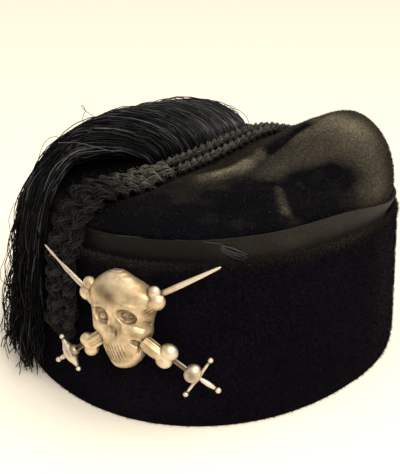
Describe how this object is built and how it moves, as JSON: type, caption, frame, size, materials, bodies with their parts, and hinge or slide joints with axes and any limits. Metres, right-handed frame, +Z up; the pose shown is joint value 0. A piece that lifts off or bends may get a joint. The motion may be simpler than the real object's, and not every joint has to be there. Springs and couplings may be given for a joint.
{
  "type": "soft cap with badge and fringe",
  "caption": "Soft round black velvet cap with a turned-up plush wall, ribbon band, pinched crown, braided cords, a side fringe of long threads and a silver skull badge.",
  "frame": {"origin": "on the surface that the cap stands on, in the middle of its plan", "axes": "+Z up, -Y towards the wearer's front, +X towards the wearer's left"},
  "size_m": [0.19, 0.2082, 0.1182],
  "materials": {
    "black_plush": "short dense pile, nearly black with a blue cast",
    "black_velvet": "velvet, black with a brown sheen where the pile is worn",
    "ribbed_ribbon": "dull ribbed silk ribbon, dark grey brown",
    "black_cord": "braided silk cord, blue black with grey glints",
    "black_thread": "twisted silk threads, blue black with grey glints",
    "aged_silver": "aged silver, warm, dark in the hollows"
  },
  "bodies": {
    "root": {"turned_up_wall": "black_plush", "crown": "black_velvet", "ribbon_band": "ribbed_ribbon", "cord_near": "black_cord", "cord_far": "black_cord", "plait": "black_cord", "fringe": "black_thread", "badge": "aged_silver", "badge_pin": "aged_silver"}
  },
  "joints": []
}
